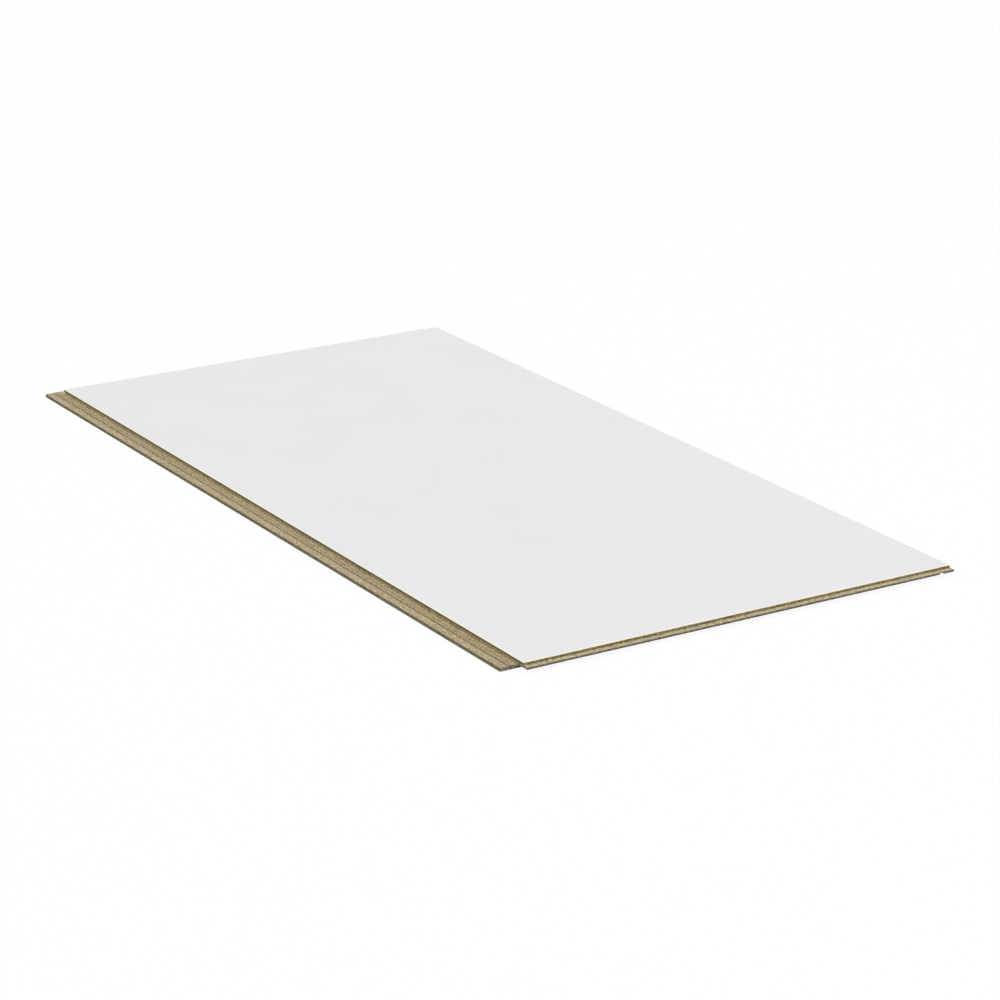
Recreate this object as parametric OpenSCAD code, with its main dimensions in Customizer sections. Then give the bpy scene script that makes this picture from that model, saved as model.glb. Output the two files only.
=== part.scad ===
// Ceiling board of pressed wood fibre, with a profile milled into each of its four sides.
// The board lies on its back: the painted face is up, +X runs across its width and +Y along
// its length. The origin is at the middle of the underside of the overall box.
//
// Boards interlock. The flange of one long side lies under the lap of the next board, and the
// tongue of one short side enters the groove of the next board, above that groove's lower lip.

/* [Board] */
// Width of the painted face, from joint line to joint line
face_w = 600; // [200:10:1200]
// Length of the painted face, from joint line to joint line
face_l = 1200; // [400:10:2400]
// Thickness of the board
board_t = 11; // [10.5:0.1:15]
// Bevel along the edges of the painted face
arris = 0.5; // [0.1:0.1:0.8]

/* [Flange side] */
// Width of the flange, out from the joint line
flange_w = 22; // [20:0.1:22.1]
// Depth of the flange and of the lower lip below the painted face
flange_depth = 6.2; // [6.2:0.1:7]
// Width of the seat that the next board's lap lies on
seat_w = 10.8; // [6:0.1:14]
// Width of the narrow groove that parts the seat from the strip
line_w = 1; // [0.5:0.1:1.5]
// Depth of the narrow groove below the strip
line_d = 1.2; // [0.5:0.1:2]
// Drop from the seat to the strip that takes the staples
strip_drop = 0.2; // [0.1:0.1:1]
// Bevel along the outer edge of the flange and of the lower lip
lip_bevel = 0.4; // [0.1:0.1:1]

/* [Lap side] */
// Width of the rebate under the lap
rebate_w = 22.4; // [22.2:0.1:25]
// Thickness of the lap and depth of the tongue's underside below the painted face
lap_t = 6.1; // [5.6:0.1:6.1]
// Distance of the relief groove from the lap's edge
relief_in = 14.5; // [12:0.1:15]
// Width of the relief groove over the staple heads
relief_w = 6.3; // [3:0.1:6.9]
// Depth of the relief groove above the rebate
relief_d = 2; // [0.5:0.1:2]

/* [Tongue side] */
// Reach of the tongue, out from the joint line
tongue_out = 8.2; // [5:0.1:8.9]
// Depth of the tongue's upper face below the painted face
tongue_depth = 3.3; // [3.3:0.1:3.5]
// Bevel along both edges of the tongue's tip
tongue_bevel = 0.4; // [0.1:0.1:0.8]
// Distance that the underside is cut back from the joint line
setback = 13.4; // [13.2:0.1:18]

/* [Groove side] */
// Reach of the lower lip, out from the joint line
lip_out = 13; // [8:0.1:13.1]
// Thickness of the upper lip over the groove
upper_lip_t = 3.2; // [2.6:0.1:3.2]
// Depth of the groove, in from the joint line
groove_in = 9; // [9:0.1:12]

/* [Hidden] */

// What a cutter reaches past the blank
over = 0.5;

// Overall size of the blank before milling
blank_w = flange_w + face_w;
blank_l = tongue_out + face_l + lip_out;

// Joint lines, where the painted face ends on each side
flange_x = flange_w - blank_w / 2;
lap_x = blank_w / 2;
tongue_y = tongue_out - blank_l / 2;
groove_y = blank_l / 2 - lip_out;

// Headings of the four sides, turned about +Z from +X
lap_side = 0;
groove_side = 90;
flange_side = 180;
tongue_side = 270;

// Heights above the underside
flange_z = board_t - flange_depth;
strip_z = flange_z - strip_drop;
line_z = strip_z - line_d;
lap_z = board_t - lap_t;
relief_z = lap_z + relief_d;
tongue_z = board_t - tongue_depth;
groove_z = board_t - upper_lip_t;

// Corner points that every cutter above the board starts with: in along the bevel of the face
function face_bevel() = [
    [-arris - over, board_t + over],
    [0, board_t - arris],
];

// Corner points that end a cutter over a lip that reaches out to u, with its top at z
function lip_end(u, z, bevel) = [
    [u - bevel, z],
    [u + over, z - bevel - over],
    [u + over, board_t + over],
];

// The cutters are drawn in section. The first coordinate runs outwards from the joint line and
// the second one is the height above the underside.

// Takes away what lies over the flange, and parts the seat from the strip for the staples
module flange_cutter() {
    polygon(concat(
        face_bevel(),
        [[0, flange_z], [seat_w, flange_z]],
        [[seat_w, line_z], [seat_w + line_w, line_z], [seat_w + line_w, strip_z]],
        lip_end(flange_w, strip_z, lip_bevel)
    ));
}

// Takes away the rebate under the lap, with the relief groove near its inner corner
module lap_cutter() {
    polygon([
        [-rebate_w, -over],
        [-rebate_w, lap_z],
        [-relief_in - relief_w, lap_z],
        [-relief_in - relief_w, relief_z],
        [-relief_in, relief_z],
        [-relief_in, lap_z],
        [over, lap_z],
        [over, -over],
    ]);
    polygon([
        [-arris - over, board_t + over],
        [over, board_t - arris - over],
        [over, board_t + over],
    ]);
}

// Takes away what lies over and under the tongue
module tongue_cutter() {
    polygon(concat(
        face_bevel(),
        [[0, tongue_z]],
        lip_end(tongue_out, tongue_z, tongue_bevel)
    ));
    polygon([
        [-setback, -over],
        [-setback, lap_z],
        [tongue_out - tongue_bevel, lap_z],
        [tongue_out + over, lap_z + tongue_bevel + over],
        [tongue_out + over, -over],
    ]);
}

// Takes away the groove and what lies over the lower lip
module groove_cutter() {
    polygon(concat(
        face_bevel(),
        [[0, groove_z], [-groove_in, groove_z], [-groove_in, flange_z]],
        lip_end(lip_out, flange_z, lip_bevel)
    ));
}

// Runs the section of a cutter along one side of the blank
module mill(joint_point, heading, run) {
    translate(joint_point)
        rotate([90, 0, heading])
            linear_extrude(height = run + 2 * over, center = true)
                children();
}

module ceiling_board() {
    color("#a89a78")
        difference() {
            translate([-blank_w / 2, -blank_l / 2, 0])
                cube([blank_w, blank_l, board_t]);
            mill([flange_x, 0, 0], flange_side, blank_l)
                flange_cutter();
            mill([lap_x, 0, 0], lap_side, blank_l)
                lap_cutter();
            mill([0, tongue_y, 0], tongue_side, blank_w)
                tongue_cutter();
            mill([0, groove_y, 0], groove_side, blank_w)
                groove_cutter();
        }
}

ceiling_board();
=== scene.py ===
"""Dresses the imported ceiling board: painted face, milled wood-fibre sides and sanded back.

Everything is in metres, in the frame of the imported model. The board lies on its back with the
painted face up, +X runs across its width and +Y along its length.
"""

import logging
import math
from abc import ABC, abstractmethod
from collections.abc import Sequence
from dataclasses import dataclass, field, replace
from enum import Enum

import bmesh
import bpy
from mathutils import Matrix, Vector


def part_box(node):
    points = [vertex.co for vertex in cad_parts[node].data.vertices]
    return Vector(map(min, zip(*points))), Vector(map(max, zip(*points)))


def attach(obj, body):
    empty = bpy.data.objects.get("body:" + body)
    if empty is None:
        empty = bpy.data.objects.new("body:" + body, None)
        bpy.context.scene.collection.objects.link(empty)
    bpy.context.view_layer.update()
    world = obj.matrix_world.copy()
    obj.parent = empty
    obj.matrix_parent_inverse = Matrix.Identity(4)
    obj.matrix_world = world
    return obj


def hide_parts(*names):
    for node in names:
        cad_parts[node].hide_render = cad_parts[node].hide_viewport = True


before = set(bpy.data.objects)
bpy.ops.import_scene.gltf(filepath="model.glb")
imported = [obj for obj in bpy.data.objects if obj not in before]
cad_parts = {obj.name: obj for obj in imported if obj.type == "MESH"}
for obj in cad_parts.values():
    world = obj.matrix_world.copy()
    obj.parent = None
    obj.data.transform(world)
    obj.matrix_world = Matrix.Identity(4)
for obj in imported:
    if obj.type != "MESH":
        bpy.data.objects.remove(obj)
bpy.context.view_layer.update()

MM = 0.001
WHITE = (1.0, 1.0, 1.0, 1.0)

# How much of a face's normal lies along Z: more than this on the painted face, on the back and
# on an arris, and less than this on an upright cut
FACE_LEVEL = 0.98
BACK_LEVEL = 0.9
ARRIS_LEAN = 0.3
UPRIGHT = 0.5

Material = bpy.types.Material
Mesh = bmesh.types.BMesh
Socket = bpy.types.NodeSocket
Tree = bpy.types.NodeTree

log = logging.getLogger("ceiling_board")


@dataclass(frozen=True)
class Flecks:
    """The flecks that a cutter drew out of the fibre bundles, by their size along X, Y and Z.

    The spread is how far the grain goes from its middle before it is fully pale or brown. Real
    bundles are 0.5 to 2 mm long and finer across. They are drawn coarser, to show at all.
    """

    x: float
    y: float
    z: float
    spread: float


class Run(Enum):
    """Which way the cutter travelled along a milled side, with the flecks that it left."""

    LENGTH = Flecks(1.3 * MM, 2.1 * MM, 1.3 * MM, spread=0.07)
    WIDTH = Flecks(3.6 * MM, 1.8 * MM, 1.8 * MM, spread=0.085)


class Tone(Enum):
    """The tones of a milled cut, as the colours of its hollows, its body and its bundles."""

    PLAIN = ("#7B6E4A", "#AEA17F", "#DBCFAE")
    OLIVE = ("#766E4A", "#A9A17F", "#D6CFAE")
    SANDY = ("#7B6E47", "#AFA17B", "#DCCFA9")
    WARM = ("#7B6C3E", "#AE9F71", "#DBCD9F")
    BEIGE = ("#7A6F4F", "#ADA284", "#D9D0B4")
    STONE = ("#72694A", "#A1987E", "#CBC4AD")
    GREY = ("#766F61", "#A6A094", "#D3CCBD")


class Zone(Enum):
    """The zones of the board, in the order of its material slots.

    A wall is an upright cut beside the painted face. A tip is the upright end of the tongue, of
    the flange or of the lower lip.
    """

    FACE = 0
    ARRIS = 1
    FLANGE_ARRIS = 2
    TONGUE_ARRIS = 3
    LONG_WALL = 4
    SHORT_WALL = 5
    SEAT = 6
    STRIP = 7
    LINE = 8
    TONGUE = 9
    TIP = 10
    FLANGE_EDGE = 11
    BACK = 12


def linear(hex_colour: str) -> tuple[float, float, float, float]:
    """Turns an sRGB hex colour into the linear values that shaders take.

    Args:
        hex_colour: six hex digits, with or without a leading hash.

    Returns:
        Linear red, green, blue and an alpha of 1.
    """
    digits = hex_colour.lstrip("#")
    channels = [int(digits[i : i + 2], 16) / 255 for i in (0, 2, 4)]
    return (*[c / 12.92 if c <= 0.04045 else ((c + 0.055) / 1.055) ** 2.4 for c in channels], 1.0)


def add_node(
    tree: Tree,
    kind: str,
    settings: dict[str, object] | None = None,
    stops: Sequence[tuple[float, str]] = (),
    **inputs: object,
) -> bpy.types.Node:
    """Adds a node to a tree, with its settings, input values and links.

    Args:
        tree: the node tree that gets the node.
        kind: Blender's identifier of the node, such as ShaderNodeBump.
        settings: attributes of the node itself.
        stops: positions and hex colours of a colour ramp, from its low end to its high end.
        **inputs: values or output sockets by input name, with _ for a space, or by iN for the
            input of that number.

    Returns:
        The new node.
    """
    node = tree.nodes.new(kind)
    for name, value in (settings or {}).items():
        setattr(node, name, value)
    if stops:
        marks = node.color_ramp.elements
        for mark, (position, colour) in zip(marks, (stops[0], stops[-1])):
            mark.position, mark.color = position, linear(colour)
        for position, colour in stops[1:-1]:
            marks.new(position).color = linear(colour)
    for name, value in inputs.items():
        key = int(name[1:]) if name[0] == "i" and name[1:].isdigit() else name.replace("_", " ")
        if isinstance(value, Socket):
            tree.links.new(value, node.inputs[key])
        else:
            node.inputs[key].default_value = value
    return node


def new_material(name: str) -> tuple[Material, Tree]:
    """Makes an empty node material.

    Args:
        name: the material's name.

    Returns:
        The material and its node tree.
    """
    material = bpy.data.materials.new(name)
    material.use_nodes = True
    material.node_tree.nodes.clear()
    return material, material.node_tree


@dataclass(frozen=True)
class Band:
    """A strip along an edge that looks different from the rest of its surface.

    It reaches some way before and after the edge, which has its place on one axis of the board,
    and it fades over the blur.
    """

    before: float
    after: float
    shade: float = 1.0
    blur: float = 0.3 * MM
    axis: str = "Z"
    edge: float = 0.0

    def along(self, axis: str, edge: float) -> "Band":
        """Returns the same band laid along an edge, which has its place on the given axis."""
        return replace(self, axis=axis, edge=edge)

    def share(self, tree: Tree, place: Socket, inside: float, outside: float) -> Socket:
        """Adds a value that changes from inside to outside the band.

        Args:
            tree: the material's node tree.
            place: the point on the board.
            inside: the value in the band.
            outside: the value elsewhere.

        Returns:
            The output that holds the value.
        """
        offset = add_node(
            tree,
            "ShaderNodeMath",
            {"operation": "SUBTRACT"},
            i0=add_node(tree, "ShaderNodeSeparateXYZ", Vector=place).outputs[self.axis],
            i1=self.edge + (self.after - self.before) / 2,
        )
        reach = add_node(tree, "ShaderNodeMath", {"operation": "ABSOLUTE"}, i0=offset.outputs[0])
        half = (self.before + self.after) / 2
        return add_node(
            tree,
            "ShaderNodeMapRange",
            {"interpolation_type": "SMOOTHSTEP"},
            Value=reach.outputs[0],
            From_Min=half - self.blur / 2,
            From_Max=half + self.blur / 2,
            To_Min=inside,
            To_Max=outside,
        ).outputs["Result"]


@dataclass(frozen=True, kw_only=True)
class Finish(ABC):
    """A surface as it was made, with its pattern of colour, its gloss and its fine relief."""

    name: str
    roughness: float
    ior: float
    relief: float
    relief_strength: float

    @abstractmethod
    def draw(self, tree: Tree, place: Socket) -> tuple[Socket, Socket]:
        """Draws the pattern of the surface.

        Args:
            tree: the material's node tree.
            place: the point on the board.

        Returns:
            The output that holds the colour and the one that holds the height of the relief.
        """

    def build(self) -> Material:
        """Makes the material.

        Returns:
            The finished material.
        """
        material, tree = new_material(self.name)
        place = add_node(tree, "ShaderNodeTexCoord").outputs["Object"]
        colour, height = self.draw(tree, place)
        bump = add_node(
            tree,
            "ShaderNodeBump",
            Strength=self.relief_strength,
            Distance=self.relief,
            Height=height,
        )
        shader = add_node(
            tree,
            "ShaderNodeBsdfPrincipled",
            Base_Color=colour,
            Roughness=self.roughness,
            IOR=self.ior,
            Normal=bump.outputs["Normal"],
        )
        add_node(tree, "ShaderNodeOutputMaterial", Surface=shader.outputs["BSDF"])
        return material


@dataclass(frozen=True, kw_only=True)
class PrimerPaint(Finish):
    """White acrylic primer, put on by roller in the factory.

    The roller leaves a fine even stipple and hardly any gloss, so the eye sees a flat, slightly
    cool white that only a low light breaks up. Where the coat has built up along an edge, it
    shows as a creamy rim.
    """

    name: str = "rolled_primer"
    roughness: float = 0.55
    ior: float = 1.5
    relief: float = 0.02 * MM
    relief_strength: float = 0.5
    white: str = "#E9E9EB"
    thin: str = "#E6E6E8"
    cream: str = "#FFF8DE"
    # Spacing of the stipple, and of the slow drift in the coat's thickness
    stipple: float = 1.4 * MM
    stipple_share: float = 0.35
    drift: float = 120 * MM
    # Cover at which the coat is still thin, and at which it is fully white
    thin_at: float = 0.4
    white_at: float = 0.95
    rims: tuple[Band, ...] = ()

    def draw(self, tree: Tree, place: Socket) -> tuple[Socket, Socket]:
        """Draws the coat, a little thinner in places, and its rims over the stipple.

        Args:
            tree: the material's node tree.
            place: the point on the board.

        Returns:
            The output that holds the colour and the one that holds the height of the relief.
        """
        drift = add_node(
            tree, "ShaderNodeTexNoise", Vector=place, Scale=1 / self.drift, Detail=3.0
        )
        stipple = add_node(
            tree, "ShaderNodeTexNoise", Vector=place, Scale=1 / self.stipple, Detail=2.0
        ).outputs["Fac"]
        coat = add_node(
            tree,
            "ShaderNodeMath",
            {"operation": "MULTIPLY_ADD"},
            i0=stipple,
            i1=self.stipple_share,
            i2=drift.outputs["Fac"],
        )
        cover = add_node(
            tree,
            "ShaderNodeMapRange",
            Value=coat.outputs["Value"],
            From_Min=self.thin_at,
            From_Max=self.white_at,
        )
        colour = add_node(
            tree,
            "ShaderNodeMix",
            {"data_type": "RGBA"},
            i0=cover.outputs["Result"],
            i6=linear(self.thin),
            i7=linear(self.white),
        ).outputs[2]
        for rim in self.rims:
            colour = add_node(
                tree,
                "ShaderNodeMix",
                {"data_type": "RGBA"},
                i0=rim.share(tree, place, 1.0, 0.0),
                i6=colour,
                i7=linear(self.cream),
            ).outputs[2]
        return colour, stipple


@dataclass(frozen=True, kw_only=True)
class MilledFibre(Finish):
    """Pressed wood fibre, cut open by a spinning cutter.

    The cutter tears the fibre bundles as much as it cuts them, so the eye sees a dull tan broken
    up by short darker and paler flecks, a little longer along the cutter's run, over a short nap.
    Bands along an edge change the shade: a darker band under the painted face, and along the
    inner corners lighter bands of painted light and darker bands of painted shade.
    """

    roughness: float = 0.9
    ior: float = 1.45
    relief: float = 0.12 * MM
    relief_strength: float = 0.6
    run: Run
    tone: Tone = Tone.PLAIN
    shade: float = 1.0
    bands: tuple[Band, ...] = ()
    # Real nap is about 0.3 mm apart. It is drawn coarser, to show at all.
    nap: float = 0.9 * MM
    nap_share: float = 0.35
    # Clumps of straw and of rosy fibre, each from the noise at which its tint starts to the one
    # at which it is full
    clump: float = 6 * MM
    clump_tint: float = 0.5
    straw: str = "#BDA771"
    straw_range: tuple[float, float] = (0.47, 0.66)
    rose: str = "#AE9A86"
    rose_range: tuple[float, float] = (0.53, 0.34)
    # Specks of bark, solid out to the core and faded out at the reach
    bark: str = "#5F5138"
    bark_tint: float = 0.55
    bark_spacing: float = 9 * MM
    bark_core: float = 0.54 * MM
    bark_reach: float = 0.99 * MM

    def draw(self, tree: Tree, place: Socket) -> tuple[Socket, Socket]:
        """Draws the flecks, the clumps and the specks of bark, and shades them.

        Args:
            tree: the material's node tree.
            place: the point on the board.

        Returns:
            The output that holds the colour and the one that holds the height of the relief.
        """
        grain = self.lay_fibre(tree, place)
        hollow, body, bundle = self.tone.value
        spread = self.run.value.spread
        colour = add_node(
            tree,
            "ShaderNodeValToRGB",
            stops=((0.5 - spread, hollow), (0.5, body), (0.5 + spread, bundle)),
            Fac=grain,
        ).outputs["Color"]
        colour = self.tint_clumps(tree, place, colour)
        colour = self.speck_bark(tree, place, colour)
        return self.shade_cut(tree, place, colour), grain

    def lay_fibre(self, tree: Tree, place: Socket) -> Socket:
        """Lays the flecks along the cutter's run and the nap between them.

        Args:
            tree: the material's node tree.
            place: the point on the board.

        Returns:
            The output that holds the grain, from 0 for a hollow to 1 for a bundle.
        """
        size = self.run.value
        laid = add_node(
            tree,
            "ShaderNodeMapping",
            Vector=place,
            Scale=(1 / size.x, 1 / size.y, 1 / size.z),
        )
        flecks = add_node(
            tree,
            "ShaderNodeTexNoise",
            Vector=laid.outputs["Vector"],
            Scale=1.0,
            Detail=2.0,
            Roughness=0.6,
        )
        nap = add_node(
            tree,
            "ShaderNodeTexNoise",
            Vector=place,
            Scale=1 / self.nap,
            Detail=3.0,
            Roughness=0.7,
        )
        return add_node(
            tree,
            "ShaderNodeMix",
            {"data_type": "FLOAT"},
            i0=self.nap_share,
            i2=flecks.outputs["Fac"],
            i3=nap.outputs["Fac"],
        ).outputs[0]

    def tint_clumps(self, tree: Tree, place: Socket, colour: Socket) -> Socket:
        """Tints clumps of the fibre with straw and rose.

        Args:
            tree: the material's node tree.
            place: the point on the board.
            colour: the output that holds the colour so far.

        Returns:
            The output that holds the tinted colour.
        """
        clumps = add_node(
            tree, "ShaderNodeTexNoise", Vector=place, Scale=1 / self.clump, Detail=2.0
        )
        for tint, (start, full) in ((self.straw, self.straw_range), (self.rose, self.rose_range)):
            amount = add_node(
                tree,
                "ShaderNodeMapRange",
                Value=clumps.outputs["Fac"],
                From_Min=start,
                From_Max=full,
                To_Min=0.0,
                To_Max=self.clump_tint,
            )
            colour = add_node(
                tree,
                "ShaderNodeMix",
                {"data_type": "RGBA"},
                i0=amount.outputs["Result"],
                i6=colour,
                i7=linear(tint),
            ).outputs[2]
        return colour

    def speck_bark(self, tree: Tree, place: Socket, colour: Socket) -> Socket:
        """Strews specks of bark through the fibre.

        Args:
            tree: the material's node tree.
            place: the point on the board.
            colour: the output that holds the colour so far.

        Returns:
            The output that holds the specked colour.
        """
        specks = add_node(
            tree,
            "ShaderNodeTexVoronoi",
            Vector=place,
            Scale=1 / self.bark_spacing,
            Randomness=1.0,
        )
        amount = add_node(
            tree,
            "ShaderNodeMapRange",
            Value=specks.outputs["Distance"],
            From_Min=self.bark_core / self.bark_spacing,
            From_Max=self.bark_reach / self.bark_spacing,
            To_Min=self.bark_tint,
            To_Max=0.0,
        )
        return add_node(
            tree,
            "ShaderNodeMix",
            {"data_type": "RGBA"},
            i0=amount.outputs["Result"],
            i6=colour,
            i7=linear(self.bark),
        ).outputs[2]

    def shade_cut(self, tree: Tree, place: Socket, colour: Socket) -> Socket:
        """Sets the shade of the whole cut and of each band in it.

        Args:
            tree: the material's node tree.
            place: the point on the board.
            colour: the output that holds the colour so far.

        Returns:
            The output that holds the shaded colour.
        """
        shades = [band.share(tree, place, band.shade, 1.0) for band in self.bands]
        for shade in (self.shade, *shades):
            colour = add_node(
                tree, "ShaderNodeVectorMath", {"operation": "SCALE"}, i0=colour, Scale=shade
            ).outputs["Vector"]
        return colour


@dataclass(frozen=True, kw_only=True)
class SandedFibre(Finish):
    """The same pressed fibre, sanded to thickness and left bare.

    Sanding leaves the fibres lying every way in the plane of the board, so the eye sees an even,
    slightly greyer tan with short crossing fibres.
    """

    name: str = "sanded_fibre"
    roughness: float = 0.8
    ior: float = 1.45
    relief: float = 0.05 * MM
    relief_strength: float = 0.5
    # Tones from the hollows to the fibres, each at its height in the felt
    tones: tuple[tuple[float, str], ...] = (
        (0.71, "#9A8D6C"),
        (0.85, "#AFA285"),
        (0.99, "#BDB195"),
    )
    # Real fibres are about 0.1 mm wide and 1 to 4 mm long. They are drawn coarser, to show at all.
    fibre_width: float = 0.9 * MM
    fibre_length: float = 7 * MM
    fibre_share: float = 0.5
    # Headings of the layers of crossing fibres, in radians
    headings: tuple[float, ...] = (0.3, 1.4, 2.4)
    drift: float = 90 * MM
    drift_share: float = 0.2

    def draw(self, tree: Tree, place: Socket) -> tuple[Socket, Socket]:
        """Draws the crossing fibres over a slow drift of tone.

        Args:
            tree: the material's node tree.
            place: the point on the board.

        Returns:
            The output that holds the colour and the one that holds the height of the relief.
        """
        layers = [self.lay_fibres(tree, place, heading) for heading in self.headings]
        fibres = layers[0]
        for layer in layers[1:]:
            fibres = add_node(
                tree, "ShaderNodeMath", {"operation": "ADD"}, i0=fibres, i1=layer
            ).outputs[0]
        drift = add_node(
            tree, "ShaderNodeTexNoise", Vector=place, Scale=1 / self.drift, Detail=4.0
        )
        slow = add_node(
            tree,
            "ShaderNodeMath",
            {"operation": "MULTIPLY"},
            i0=drift.outputs["Fac"],
            i1=self.drift_share,
        )
        felt = add_node(
            tree,
            "ShaderNodeMath",
            {"operation": "MULTIPLY_ADD"},
            i0=fibres,
            i1=self.fibre_share,
            i2=slow.outputs[0],
        )
        tone = add_node(tree, "ShaderNodeValToRGB", stops=self.tones, Fac=felt.outputs[0])
        return tone.outputs["Color"], fibres

    def lay_fibres(self, tree: Tree, place: Socket, heading: float) -> Socket:
        """Lays one layer of fibres.

        Args:
            tree: the material's node tree.
            place: the point on the board.
            heading: how far the layer is turned about Z, in radians.

        Returns:
            The output that holds the layer, from 0 for a hollow to 1 for a fibre.
        """
        turned = add_node(tree, "ShaderNodeMapping", Vector=place, Rotation=(0.0, 0.0, heading))
        drawn = add_node(
            tree,
            "ShaderNodeMapping",
            Vector=turned.outputs["Vector"],
            Scale=(1 / self.fibre_width, 1 / self.fibre_length, 1 / self.fibre_width),
        )
        return add_node(
            tree, "ShaderNodeTexNoise", Vector=drawn.outputs["Vector"], Scale=1.0, Detail=2.0
        ).outputs["Fac"]


@dataclass
class FibreBoard:
    """The board, one piece of pressed wood fibre with a profile milled into each side."""

    node: str = "ceiling_board"
    body: str = "root"
    slot: str = "painted_fibreboard"
    flange_width: float = 22 * MM
    flange_depth: float = 6.2 * MM
    seat_width: float = 10.8 * MM
    line_width: float = 1 * MM
    rebate_width: float = 22.4 * MM
    tongue_reach: float = 8.2 * MM
    tongue_depth: float = 3.3 * MM
    setback: float = 13.4 * MM
    lip_reach: float = 13 * MM
    arris: float = 0.5 * MM
    softening: float = 0.1 * MM
    softening_steps: int = 2
    # Triangles that meet within this many degrees are one face
    flat: float = 1
    # Edges that turn by more than this many degrees are softened
    sharp: float = 20
    # Points nearer than this are one
    weld: float = 0.001 * MM
    # Paint that has built up along the edges of the face
    rim: Band = Band(2.1 * MM, 2.1 * MM, blur=2.1 * MM)
    # Darker band along the top of the long wall, under the painted face
    dark_top_band: Band = Band(2.5 * MM, 1 * MM, shade=0.42, blur=0.9 * MM)
    # Painted light in the corner over the flange: low on the wall, and on the seat beside it
    wall_base_light: Band = Band(0.2 * MM, 1.2 * MM, shade=1.3, blur=0.8 * MM)
    seat_edge_light: Band = Band(3 * MM, 1 * MM, shade=1.28, blur=1 * MM)
    # Painted shade in the corner over the tongue: low on the wall, and on the tongue beside it
    wall_base_shade: Band = Band(0.7 * MM, 1 * MM, shade=0.86, blur=0.8 * MM)
    tongue_root_shade: Band = Band(2.3 * MM, 1 * MM, shade=0.65, blur=1.4 * MM)
    # Darker along the tongue's outer edge, and lighter below the flange's level, which is painted
    # light where it lifts the shade of the recess under the tongue
    nosing: Band = Band(1 * MM, 1.5 * MM, shade=0.75, blur=1 * MM)
    lower_tips_paler_and_lit: Band = Band(5.8 * MM, 0.0, shade=1.35)
    low: Vector = field(init=False)
    high: Vector = field(init=False)
    flange_x: float = field(init=False)
    tongue_y: float = field(init=False)
    groove_y: float = field(init=False)
    flange_z: float = field(init=False)
    tongue_z: float = field(init=False)

    def __post_init__(self) -> None:
        """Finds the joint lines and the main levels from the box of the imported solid."""
        self.low, self.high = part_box(self.node)
        self.flange_x = self.low.x + self.flange_width
        self.tongue_y = self.low.y + self.tongue_reach
        self.groove_y = self.high.y - self.lip_reach
        self.flange_z = self.high.z - self.flange_depth
        self.tongue_z = self.high.z - self.tongue_depth

    def face_centre(self) -> Vector:
        """Finds the middle of the painted face.

        Returns:
            The middle, at the height of the paint.
        """
        middle_x = (self.flange_x + self.high.x) / 2
        middle_y = (self.tongue_y + self.groove_y) / 2
        return Vector((middle_x, middle_y, self.high.z))

    def build(self) -> bpy.types.Object:
        """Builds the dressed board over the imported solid, which it stands for.

        Returns:
            The board, riding on its body.
        """
        shape = bmesh.new()
        shape.from_mesh(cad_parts[self.node].data)
        self.clean(shape)
        self.part_the_corners(shape)
        self.soften_edges(shape)
        self.sort_faces(shape)
        mesh = bpy.data.meshes.new("fibre_board")
        shape.to_mesh(mesh)
        shape.free()
        board = bpy.data.objects.new("fibre_board", mesh)
        bpy.context.scene.collection.objects.link(board)
        self.dress(board)
        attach(board, self.body)
        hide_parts(self.node)
        return board

    def clean(self, shape: Mesh) -> None:
        """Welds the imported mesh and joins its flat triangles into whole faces.

        Args:
            shape: the mesh to clean.
        """
        bmesh.ops.remove_doubles(shape, verts=shape.verts, dist=self.weld)
        bmesh.ops.dissolve_limit(
            shape,
            angle_limit=math.radians(self.flat),
            verts=shape.verts,
            edges=shape.edges,
        )

    def part_the_corners(self, shape: Mesh) -> None:
        """Cuts the faces that run round a corner, so that each belongs to one milled side.

        Args:
            shape: the mesh to cut.
        """
        for point, normal in (
            ((0, self.tongue_y + self.setback, 0), (0, 1, 0)),
            ((0, self.groove_y, 0), (0, 1, 0)),
            ((self.flange_x, 0, 0), (1, 0, 0)),
        ):
            bmesh.ops.bisect_plane(
                shape,
                geom=shape.verts[:] + shape.edges[:] + shape.faces[:],
                plane_co=point,
                plane_no=normal,
                dist=self.weld,
            )

    def soften_edges(self, shape: Mesh) -> None:
        """Rounds every sharp outer edge as a cutter and sandpaper leave it.

        Args:
            shape: the mesh to round.
        """
        sharp = [
            edge
            for edge in shape.edges
            if edge.is_manifold
            and edge.is_convex
            and edge.calc_face_angle() > math.radians(self.sharp)
        ]
        bmesh.ops.bevel(
            shape,
            geom=sharp,
            offset=self.softening,
            offset_type="OFFSET",
            segments=self.softening_steps,
            profile=0.5,
            affect="EDGES",
            clamp_overlap=True,
        )

    def sort_faces(self, shape: Mesh) -> None:
        """Gives each face the slot of its zone.

        Args:
            shape: the mesh to sort.
        """
        for face in shape.faces:
            face.material_index = self.zone_of(face).value
            face.smooth = False

    def zone_of(self, face: bmesh.types.BMFace) -> Zone:
        """Finds which zone a face belongs to.

        Args:
            face: a face of the board.

        Returns:
            The face's zone.
        """
        middle = face.calc_center_median()
        depth, out = self.high.z - middle.z, self.flange_x - middle.x
        lean = abs(face.normal.z)
        upward = face.normal.z > 0
        if upward and lean > FACE_LEVEL and depth < self.softening / 2:
            return Zone.FACE
        if upward and lean > ARRIS_LEAN and depth < self.arris:
            return self.arris_of(face.normal)
        if not upward and lean > BACK_LEVEL and middle.z < self.low.z + self.softening / 2:
            return Zone.BACK
        if self.seat_width < out < self.seat_width + self.line_width:
            return Zone.LINE
        if lean < UPRIGHT:
            return self.upright_of(face.normal, middle)
        if out > self.seat_width:
            return Zone.STRIP
        if out > 0 or middle.x > self.high.x - self.rebate_width:
            return Zone.SEAT
        return Zone.TONGUE

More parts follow.
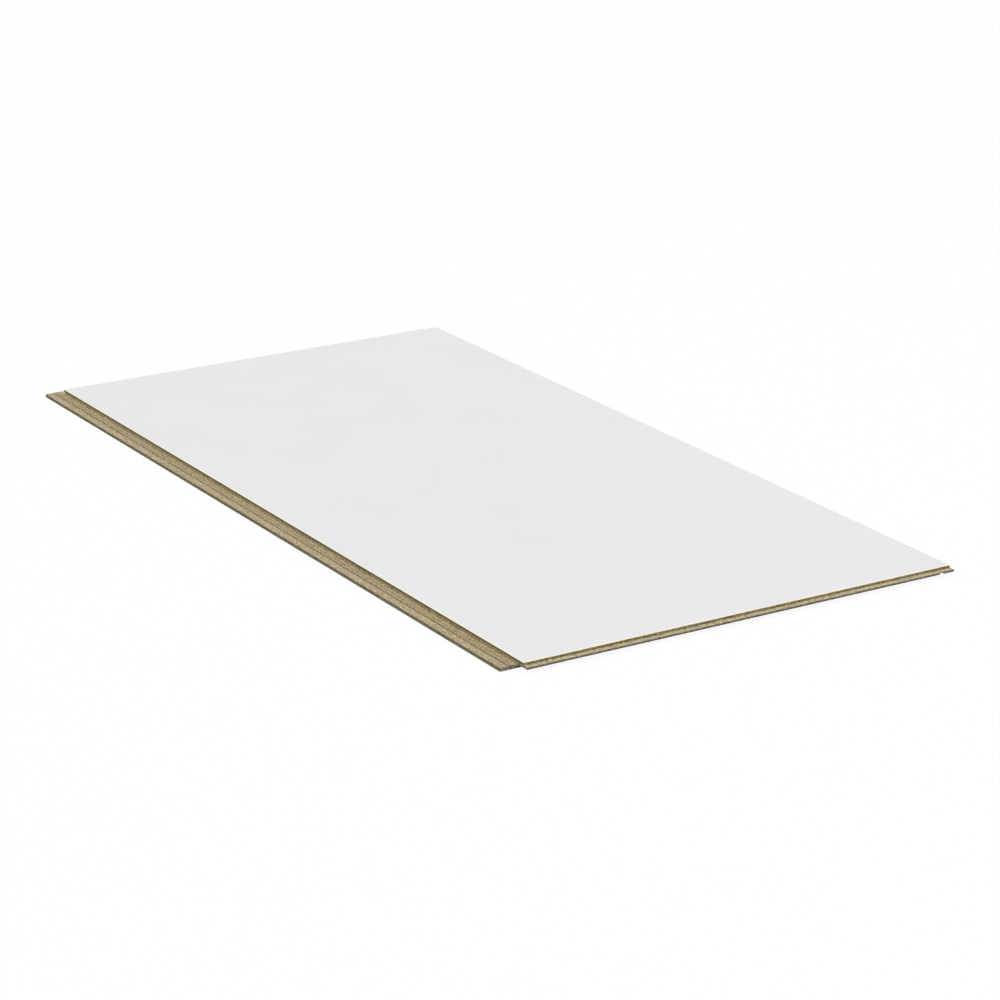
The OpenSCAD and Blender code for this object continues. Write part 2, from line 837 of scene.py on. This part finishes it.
    def arris_of(self, normal: Vector) -> Zone:
        """Finds which side's arris a bevel of the painted face is.

        Args:
            normal: the bevel's normal.

        Returns:
            The bevel's zone.
        """
        if -normal.x > abs(normal.y):
            return Zone.FLANGE_ARRIS
        return Zone.TONGUE_ARRIS if -normal.y > abs(normal.x) else Zone.ARRIS

    def upright_of(self, normal: Vector, middle: Vector) -> Zone:
        """Finds which zone an upright face belongs to.

        Args:
            normal: the face's normal.
            middle: the face's middle.

        Returns:
            The face's zone.
        """
        if abs(normal.y) < abs(normal.x):
            return Zone.FLANGE_EDGE if middle.x < self.low.x + MM else Zone.LONG_WALL
        return Zone.SHORT_WALL if middle.z > self.tongue_z else Zone.TIP

    def finishes(self) -> dict[Zone, Finish]:
        """Chooses the finish of each zone.

        Returns:
            The finishes by zone.
        """
        rims = (self.rim.along("X", self.flange_x), self.rim.along("Y", self.tongue_y))
        return {
            Zone.FACE: PrimerPaint(rims=rims),
            Zone.ARRIS: PrimerPaint(name="arris_primer", white="#FCFCF8", thin="#F6F6F2"),
            Zone.FLANGE_ARRIS: PrimerPaint(
                name="worn_arris_primer", white="#ECE6D0", thin="#E2DABE"
            ),
            Zone.TONGUE_ARRIS: PrimerPaint(
                name="cream_arris_primer", white="#FFFBE9", thin="#FAF5E0"
            ),
            # The long wall is darker along its top, and lighter low down as painted light in that
            # corner
            Zone.LONG_WALL: MilledFibre(
                name="milled_fibre_long_wall",
                run=Run.LENGTH,
                tone=Tone.OLIVE,
                shade=1.16,
                bands=(
                    self.dark_top_band.along("Z", self.high.z),
                    self.wall_base_light.along("Z", self.flange_z),
                ),
            ),
            # Darker low down as painted shade in the corner over the tongue
            Zone.SHORT_WALL: MilledFibre(
                name="milled_fibre_short_wall",
                run=Run.WIDTH,
                tone=Tone.WARM,
                shade=0.98,
                bands=(self.wall_base_shade.along("Z", self.tongue_z),),
            ),
            # Darker than the strip as painted shade from the wall beside it, and lighter against
            # the wall as painted light in that corner
            Zone.SEAT: MilledFibre(
                name="milled_fibre_seat",
                run=Run.LENGTH,
                tone=Tone.SANDY,
                shade=0.81,
                bands=(self.seat_edge_light.along("X", self.flange_x),),
            ),
            Zone.STRIP: MilledFibre(name="milled_fibre_strip", run=Run.LENGTH, shade=0.98),
            # Drawn at about half shade: painted shade in the narrow groove
            Zone.LINE: MilledFibre(name="milled_fibre_line", run=Run.LENGTH, shade=0.52),
            # Darker at the wall as painted shade in that corner, and darker along the outer edge
            Zone.TONGUE: MilledFibre(
                name="milled_fibre_tongue",
                run=Run.WIDTH,
                tone=Tone.BEIGE,
                shade=1.14,
                bands=(
                    self.tongue_root_shade.along("Y", self.tongue_y),
                    self.nosing.along("Y", self.low.y),
                ),
            ),
            # Lighter below the flange's level; on the setback wall under the tongue this is
            # painted light
            Zone.TIP: MilledFibre(
                name="milled_fibre_tip",
                run=Run.WIDTH,
                tone=Tone.GREY,
                shade=0.82,
                bands=(self.lower_tips_paler_and_lit.along("Z", self.flange_z),),
            ),
            Zone.FLANGE_EDGE: MilledFibre(
                name="milled_fibre_flange_edge", run=Run.LENGTH, tone=Tone.STONE, shade=0.99
            ),
            Zone.BACK: SandedFibre(),
        }

    def dress(self, board: bpy.types.Object) -> None:
        """Gives the board its finishes, in the order of Zone.

        Args:
            board: the built board.
        """
        finishes = self.finishes()
        for zone in Zone:
            board.data.materials.append(finishes[zone].build())


@dataclass
class Studio:
    """A pale floor under soft overhead light."""

    floor_side: float = 40.0
    floor_gap: float = 0.05 * MM
    floor_grey: str = "#6A6A6A"
    shadow_share: float = 0.07
    sky_level: float = 0.432
    lamp_side: float = 9.0
    lamp_distance: float = 12.0
    lamp_side_tilt: float = 0.03
    lamp_front_tilt: float = -0.14
    lamp_power: float = 932.0

    def build(self, centre: Vector, ground: float) -> None:
        """Makes the floor, the lamp and the world.

        Args:
            centre: the point that the lamp hangs over.
            ground: height of the floor.
        """
        self.lay_floor(ground)
        self.hang_lamp(centre)
        self.fill_sky()

    def seen_rays(self, tree: Tree) -> Socket:
        """Adds a value that is 1 for the rays that look at the background.

        Args:
            tree: the node tree that gets the nodes.

        Returns:
            The output that holds the value.
        """
        rays = add_node(tree, "ShaderNodeLightPath").outputs
        seen = rays["Is Camera Ray"]
        for kind in ("Is Glossy Ray", "Is Transmission Ray"):
            seen = add_node(
                tree, "ShaderNodeMath", {"operation": "MAXIMUM"}, i0=seen, i1=rays[kind]
            ).outputs[0]
        return seen

    def lay_floor(self, ground: float) -> None:
        """Lays the floor, white to the camera and grey to the light it throws back.

        Args:
            ground: height of the floor.
        """
        shape = bmesh.new()
        bmesh.ops.create_grid(shape, x_segments=1, y_segments=1, size=self.floor_side / 2)
        mesh = bpy.data.meshes.new("floor")
        shape.to_mesh(mesh)
        shape.free()
        floor = bpy.data.objects.new("floor", mesh)
        floor.location.z = ground - self.floor_gap
        bpy.context.scene.collection.objects.link(floor)
        material, tree = new_material("white_floor")
        grey = add_node(
            tree, "ShaderNodeBsdfDiffuse", Color=linear(self.floor_grey), Roughness=0.0
        )
        paper = add_node(tree, "ShaderNodeBsdfDiffuse", Color=WHITE, Roughness=0.0)
        glow = add_node(tree, "ShaderNodeEmission", Color=WHITE, Strength=1.0)
        shaded = add_node(
            tree,
            "ShaderNodeMixShader",
            i0=self.shadow_share,
            i1=glow.outputs[0],
            i2=paper.outputs[0],
        )
        surface = add_node(
            tree,
            "ShaderNodeMixShader",
            i0=self.seen_rays(tree),
            i1=grey.outputs[0],
            i2=shaded.outputs[0],
        )
        add_node(tree, "ShaderNodeOutputMaterial", Surface=surface.outputs[0])
        mesh.materials.append(material)

    def hang_lamp(self, centre: Vector) -> None:
        """Hangs one wide soft lamp over the board, a little towards the tongue side.

        Args:
            centre: the point that the lamp hangs over.
        """
        light = bpy.data.lights.new("overhead", "AREA")
        light.shape = "SQUARE"
        light.size = self.lamp_side
        light.energy = self.lamp_power
        lamp = bpy.data.objects.new("overhead", light)
        heading = Vector((self.lamp_side_tilt, self.lamp_front_tilt, 1)).normalized()
        lamp.location = centre + heading * self.lamp_distance
        lamp.rotation_euler = heading.to_track_quat("Z", "Y").to_euler()
        bpy.context.scene.collection.objects.link(lamp)

    def fill_sky(self) -> None:
        """Lights the scene evenly from all round, and shows white behind it."""
        world = bpy.data.worlds.new("studio")
        world.use_nodes = True
        tree = world.node_tree
        tree.nodes.clear()
        fill = add_node(tree, "ShaderNodeBackground", Color=WHITE, Strength=self.sky_level)
        seen = add_node(tree, "ShaderNodeBackground", Color=WHITE, Strength=1.0)
        both = add_node(
            tree,
            "ShaderNodeMixShader",
            i0=self.seen_rays(tree),
            i1=fill.outputs[0],
            i2=seen.outputs[0],
        )
        add_node(tree, "ShaderNodeOutputWorld", Surface=both.outputs[0])
        bpy.context.scene.world = world


@dataclass
class Viewpoint:
    """The camera: a long lens, low over the corner between the flange and the tongue side.

    Its angles are in degrees, and its lens and sensor in millimetres.
    """

    azimuth: float = -31.736
    elevation: float = 19.007
    roll: float = 0.046
    distance: float = 4.2702
    lens: float = 122.25
    sensor: float = 36.0
    nearest: float = 0.1
    farthest: float = 100.0
    aim_x: float = -32.0 * MM
    aim_y: float = -117.4 * MM

    def build(self, face_centre: Vector) -> None:
        """Makes the scene's camera.

        Args:
            face_centre: the middle of the painted face, which the aim is measured from.
        """
        around, up = math.radians(self.azimuth), math.radians(self.elevation)
        back = Vector(
            (math.sin(around) * math.cos(up), -math.cos(around) * math.cos(up), math.sin(up))
        )
        data = bpy.data.cameras.new("camera")
        data.lens = self.lens
        data.sensor_width = self.sensor
        data.clip_start, data.clip_end = self.nearest, self.farthest
        camera = bpy.data.objects.new("camera", data)
        turn = (-back).to_track_quat("-Z", "Y").to_matrix().to_4x4()
        spot = face_centre + Vector((self.aim_x, self.aim_y, 0)) + back * self.distance
        lean = Matrix.Rotation(math.radians(self.roll), 4, "Z")
        camera.matrix_world = Matrix.Translation(spot) @ turn @ lean
        bpy.context.scene.collection.objects.link(camera)
        bpy.context.scene.camera = camera


def main() -> None:
    """Builds the board, the studio and the camera."""
    logging.basicConfig(level=logging.INFO, format="%(name)s: %(message)s")
    bpy.context.scene.view_settings.view_transform = "Standard"
    board = FibreBoard()
    piece = board.build()
    log.info("%s has %d faces", piece.name, len(piece.data.polygons))
    Studio().build(board.face_centre(), board.low.z)
    log.info("studio lit")
    Viewpoint().build(board.face_centre())
    log.info("camera set")


if __name__ == "__main__":
    main()
